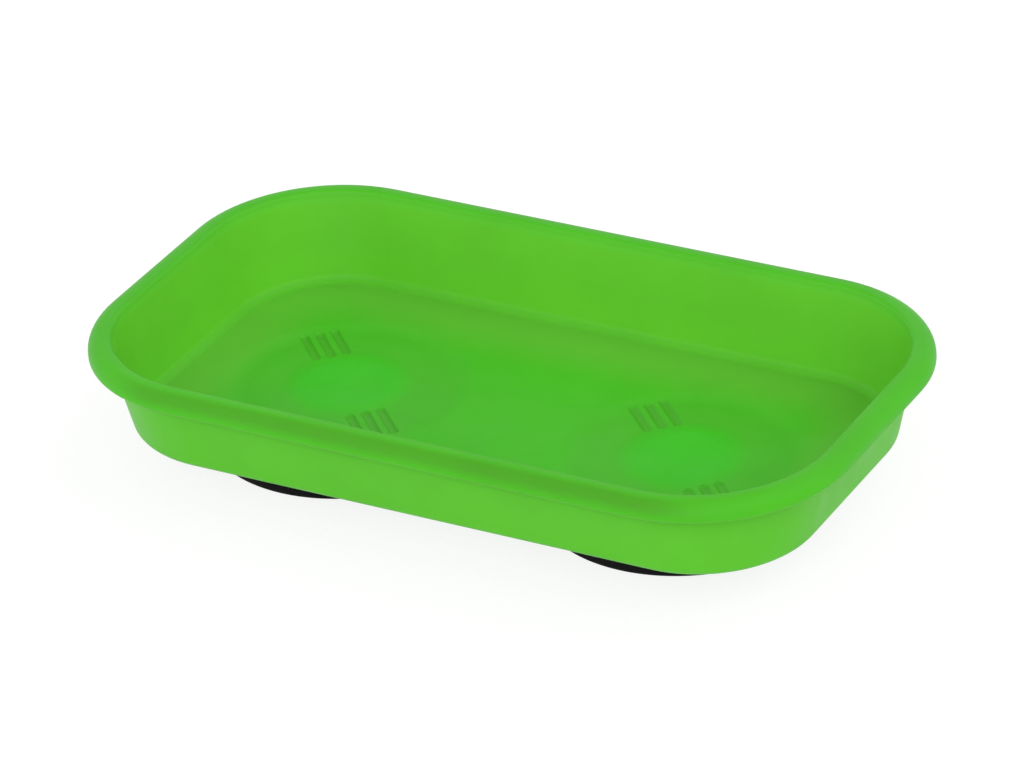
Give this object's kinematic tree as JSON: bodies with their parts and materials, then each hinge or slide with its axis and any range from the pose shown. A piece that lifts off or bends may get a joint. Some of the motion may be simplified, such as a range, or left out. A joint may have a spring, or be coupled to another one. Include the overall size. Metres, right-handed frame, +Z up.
{
  "type": "magnetic parts tray",
  "caption": "Shallow rectangular moulded tray with round corners and a rolled rim, on two rubber-booted ring magnets that hold small steel parts and grip a steel surface.",
  "frame": {"origin": "on the surface that the boots rest on, under the middle of the tray", "axes": "+X along the tray's length, +Y across its width, +Z up out of the tray"},
  "size_m": [0.24, 0.14, 0.0434],
  "materials": {
    "pan": "smooth satin moulded polypropylene, bright green",
    "boot": "matt moulded rubber, black",
    "ferrite": "ground ferrite ceramic, dark grey",
    "zinc": "bright zinc-plated steel"
  },
  "bodies": {
    "root": {"tray_pan": "pan", "left_magnet": "ferrite", "right_magnet": "ferrite", "left_boot": "boot", "right_boot": "boot", "left_retainer": "zinc", "right_retainer": "zinc", "left_screw": "zinc", "right_screw": "zinc"}
  },
  "joints": []
}
